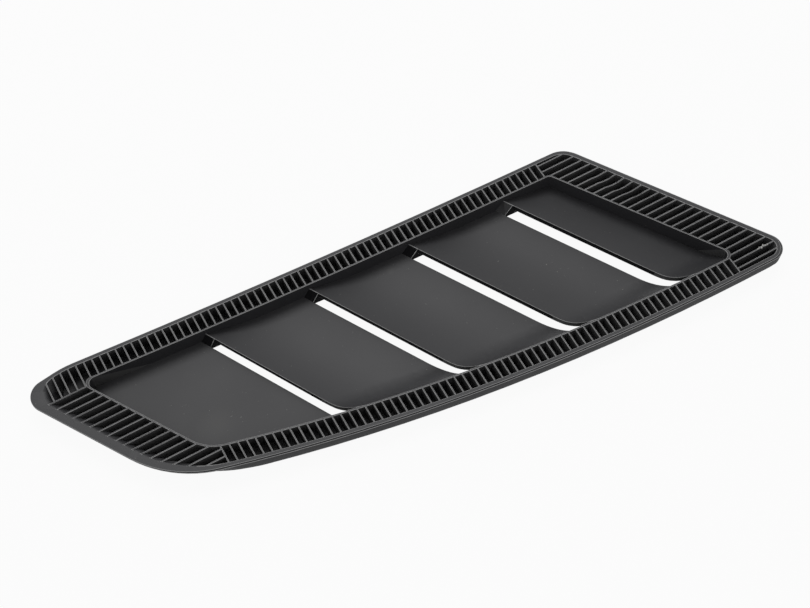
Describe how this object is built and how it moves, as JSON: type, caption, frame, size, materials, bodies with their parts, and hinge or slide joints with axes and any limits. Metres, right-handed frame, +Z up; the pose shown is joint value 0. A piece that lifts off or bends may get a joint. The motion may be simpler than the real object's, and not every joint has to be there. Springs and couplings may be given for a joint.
{
  "type": "bonnet vent",
  "caption": "Louvred bonnet air vent moulding, seen from its ribbed back: a hollow ribbed border round a pan of slanted louvres with open slots.",
  "frame": {"origin": "centre of the bounding box in plan, on the smooth show face that lies down", "axes": "+X along the long ribbed sides, +Y towards the shorter straight long side, +Z up out of the ribbed back"},
  "size_m": [0.4502, 0.1502, 0.0155],
  "materials": {
    "moulding": "fine moulded grain, dull black"
  },
  "bodies": {
    "root": {"vent": "moulding"}
  },
  "joints": []
}
